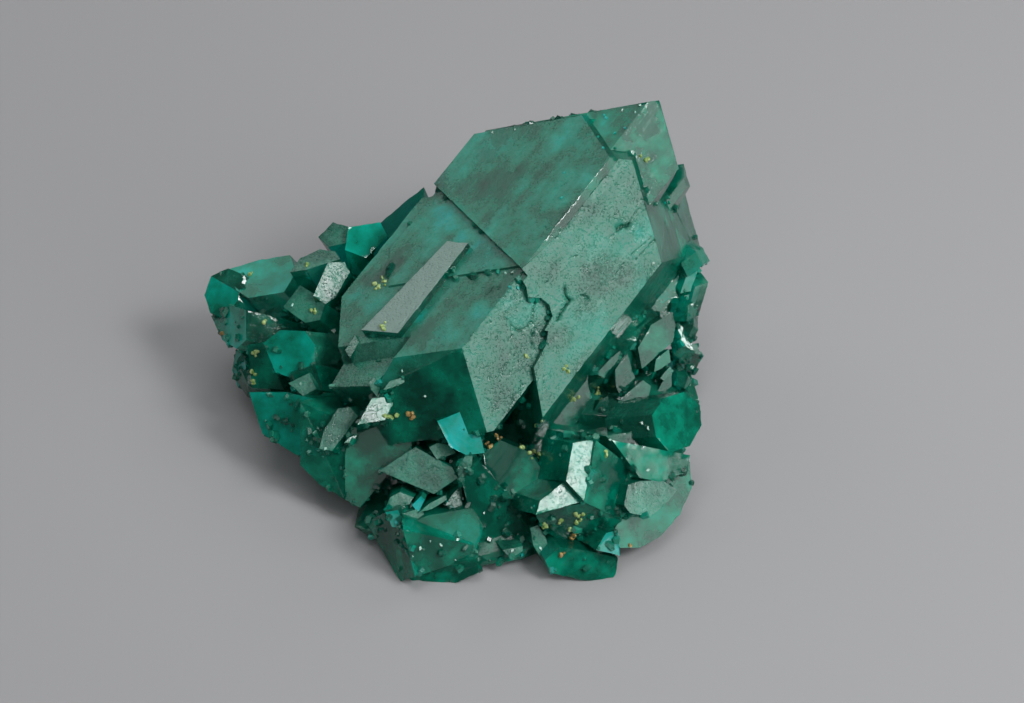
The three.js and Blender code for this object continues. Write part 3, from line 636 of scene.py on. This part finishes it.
# The ochre grains. Fewer crumbs of a brownish yellow mineral, most of them low on the cluster,
# grown on the faces like the yellow-green ones.
OCHRE_PLACES = [(498, 437), (488, 444), (411, 415), (222, 335), (575, 535), (563, 553), (630, 545)]
grains("ochre_grains", OCHRE_PLACES,
       grain_finish("ochre_grain", (0.20, 0.11, 0.03, 1), (0.52, 0.36, 0.12, 1)))


# The flakes. Small flat cleavage flakes of the same green mineral, grown on the faces. Turquoise
# ones lie on their face and carry the brightest turquoise tone, a painted glow of light shining
# through them, and frosty ones are tilted so that they mirror the small bright panel.
SPARK_PANEL = (0.62, -0.295, 0.726)
FLAKE_ROOT = 0.10
FLAKE_RISE = 0.05


def flakes(name, places, across_mm, toward, looks):
    """Four cornered flakes at the given places. They lie on the face unless toward is given."""
    builder = bmesh.new()
    for across, down in places:
        point, index = seen(across, down)
        if point is None:
            continue
        normal = facets[index].normal
        if toward is not None:
            normal = ((EYE - point).normalized() + Vector(toward).normalized()).normalized()
        wild = Vector([dice.gauss(0, 1) for axis in range(3)])
        wide = (wild - wild.dot(normal) * normal).normalized()
        deep = normal.cross(wide)
        reach = across_mm * dice.uniform(0.6, 1.2)
        rim = [wide * reach, deep * reach * 0.6, -wide * reach * 0.8, -deep * reach * 0.5]
        low = [builder.verts.new(point + edge * 1.1 - normal * FLAKE_ROOT) for edge in rim]
        high = [builder.verts.new(point + edge + normal * FLAKE_RISE) for edge in rim]
        builder.faces.new(high)
        builder.faces.new(low[::-1])
        for corner in range(4):
            after = (corner + 1) % 4
            builder.faces.new((low[corner], low[after], high[after], high[corner]))
    bmesh.ops.scale(builder, vec=(MM, MM, MM), verts=builder.verts)
    made = bpy.data.meshes.new(name)
    builder.to_mesh(made)
    builder.free()
    made.materials.append(dioptase.material)
    give_looks(made, 6, looks)
    piece = bpy.data.objects.new(name, made)
    bpy.context.scene.collection.objects.link(piece)
    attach(piece, "root")


TURQUOISE_GLOW_PLACES = [
    (604, 115), (625, 128), (615, 133), (598, 137), (603, 148), (564, 173), (561, 198), (665, 203),
    (345, 404), (522, 555), (330, 333), (510, 287), (518, 288), (386, 516), (396, 522), (606, 118),
]
# Painted glow: these flakes get the brightest turquoise tone for light shining through them.
flakes("turquoise_flakes", TURQUOISE_GLOW_PLACES, 0.14, None, {
    "frost": (0.0, 0.1), "cloud": (0.95, 1.0), "tone": (1.0, 1.1), "lines": (0.1, 0.2)})
GLINT_PLACES = [
    (492, 133), (515, 130), (622, 110), (635, 112), (640, 105), (505, 273), (513, 272), (484, 513),
    (457, 540), (430, 541), (441, 545), (512, 551), (325, 449), (653, 263), (307, 440), (352, 428),
    (466, 468), (642, 423), (648, 428), (300, 384), (283, 327), (292, 305), (318, 428), (540, 548),
    (402, 371), (425, 396), (648, 470), (636, 492), (610, 440), (560, 455), (455, 560), (420, 548),
]
flakes("glinting_flakes", GLINT_PLACES, 0.15, SPARK_PANEL, {
    "frost": (0.3, 0.6), "cloud": (0.8, 1.0), "tone": (0.3, 0.5), "lines": (0.1, 0.2)})

# The floor, light and camera. A pale table top and plain soft light from large panels. The
# camera looks along the sight line that the places were measured on.
SPAN = 3.0
floor_mesh = bpy.data.meshes.new("floor")
floor_mesh.from_pydata(
    [(-SPAN, -SPAN, 0), (SPAN, -SPAN, 0), (SPAN, SPAN, 0), (-SPAN, SPAN, 0)], [], [(0, 1, 2, 3)])
floor = bpy.data.objects.new("floor", floor_mesh)
bpy.context.scene.collection.objects.link(floor)
table = Finish("pale_table")
table.node("ShaderNodeOutputMaterial", {}, {"Surface": table.node("ShaderNodeBsdfPrincipled", {}, {
    "Base Color": (0.37, 0.37, 0.38, 1), "Roughness": 0.8})})
floor_mesh.materials.append(table.material)

world = bpy.data.worlds.new("studio")
world.use_nodes = True
world.node_tree.nodes["Background"].inputs["Color"].default_value = (0.80, 0.84, 0.88, 1)
world.node_tree.nodes["Background"].inputs["Strength"].default_value = 0.08
bpy.context.scene.world = world
bpy.context.scene.view_settings.view_transform = "Standard"

# Each panel has a name, a direction, a distance and side in metres, and a radiance.
PANELS = [
    ("right_front_panel", (0.753, -0.473, 0.456), 0.30, 0.19, 2.3),
    ("white_spark_panel", SPARK_PANEL, 0.27, 0.08, 17),
    ("left_back_panel", (-0.565, 0.523, 0.637), 0.30, 0.18, 0.9),
    ("back_right_key", (0.45, 0.62, 0.64), 0.30, 0.12, 2.2),
    ("top_panel", (0.0, 0.1, 1.0), 0.35, 0.25, 1.8),
    ("front_fill", (-0.12, -0.743, 0.669), 0.50, 0.40, 0.60),
]
for name, toward, reach, side, radiance in PANELS:
    light = bpy.data.lights.new(name, "AREA")
    light.shape = "SQUARE"
    light.size = side
    light.energy = radiance * math.pi * side ** 2
    panel = bpy.data.objects.new(name, light)
    way = Vector(toward).normalized()
    panel.location = way * reach + Vector((0, 0, AIM.z * MM))
    panel.rotation_euler = way.to_track_quat("Z", "Y").to_euler()
    bpy.context.scene.collection.objects.link(panel)

view = bpy.data.cameras.new("front_view")
view.sensor_width = 36
view.lens = EYE_DISTANCE / PICTURE_STEP * view.sensor_width / 1024
camera = bpy.data.objects.new("front_view", view)
camera.location = EYE * MM
camera.rotation_euler = (math.radians(90) - VIEW_TILT, 0, 0)
view.clip_start = 0.01
bpy.context.scene.collection.objects.link(camera)
bpy.context.scene.camera = camera
